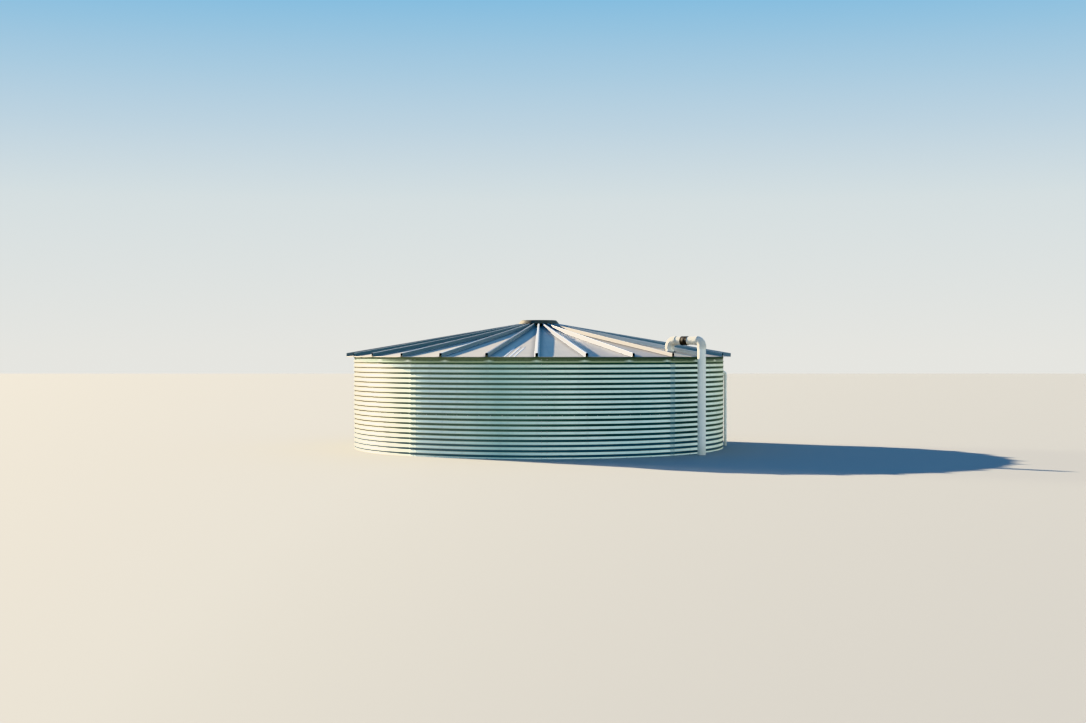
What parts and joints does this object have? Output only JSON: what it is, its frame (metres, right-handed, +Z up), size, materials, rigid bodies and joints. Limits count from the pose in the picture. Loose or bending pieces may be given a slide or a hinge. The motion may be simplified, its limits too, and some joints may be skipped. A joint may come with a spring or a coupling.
{
  "type": "corrugated steel water tank",
  "caption": "Round corrugated steel water tank on the ground, with a low ribbed cone roof, vent cap, fill pipe over the eave and overflow pipe.",
  "frame": {"origin": "middle of the tank's base, on the ground", "axes": "+Z up along the tank's axis, -Y towards the front as pictured, +X to the right with the fill and overflow pipes"},
  "size_m": [8.5215, 8.5106, 2.823],
  "materials": {
    "wall": "galvanised corrugated steel, dull zinc with spangle",
    "roof": "galvanised sheet steel, smooth dull zinc",
    "cap": "weathered galvanised sheet steel",
    "liner": "matt blue-black sheet liner",
    "pvc": "white plastic pipe, slightly weathered",
    "rubber": "black rubber, satin",
    "clamp": "stainless band",
    "flashing": "dull grey-black pipe flashing"
  },
  "bodies": {
    "root": {"lower_wall_sheet_1": "wall", "lower_wall_sheet_2": "wall", "lower_wall_sheet_3": "wall", "lower_wall_sheet_4": "wall", "lower_wall_sheet_5": "wall", "lower_wall_sheet_6": "wall", "lower_wall_sheet_7": "wall", "lower_wall_sheet_8": "wall", "lower_wall_sheet_9": "wall", "upper_wall_sheet_1": "wall", "upper_wall_sheet_2": "wall", "upper_wall_sheet_3": "wall", "upper_wall_sheet_4": "wall", "upper_wall_sheet_5": "wall", "upper_wall_sheet_6": "wall", "upper_wall_sheet_7": "wall", "upper_wall_sheet_8": "wall", "upper_wall_sheet_9": "wall", "roof_panels_1": "roof", "roof_panels_2": "roof", "roof_panels_3": "roof", "roof_panels_4": "roof", "roof_panels_5": "roof", "roof_panels_6": "roof", "roof_panels_7": "roof", "roof_panels_8": "roof", "roof_panels_9": "roof", "roof_ribs_1": "roof", "roof_ribs_2": "roof", "roof_ribs_3": "roof", "roof_ribs_4": "roof", "roof_ribs_5": "roof", "roof_ribs_6": "roof", "roof_ribs_7": "roof", "roof_ribs_8": "roof", "roof_ribs_9": "roof", "roof_cap": "cap", "peak_ring": "roof", "floor": "liner", "fill_riser": "pvc", "fill_upper_elbow": "pvc", "fill_run_pipe": "pvc", "rubber_coupling": "rubber", "coupling_clamp_1": "clamp", "coupling_clamp_2": "clamp", "fill_stub_pipe": "pvc", "fill_drop_elbow": "pvc", "fill_drop_pipe": "pvc", "roof_pipe_flange": "flashing", "overflow_pipe": "pvc", "overflow_wall_flange": "pvc", "overflow_elbow": "pvc", "overflow_coupling": "pvc", "overflow_downpipe": "pvc"}
  },
  "joints": []
}
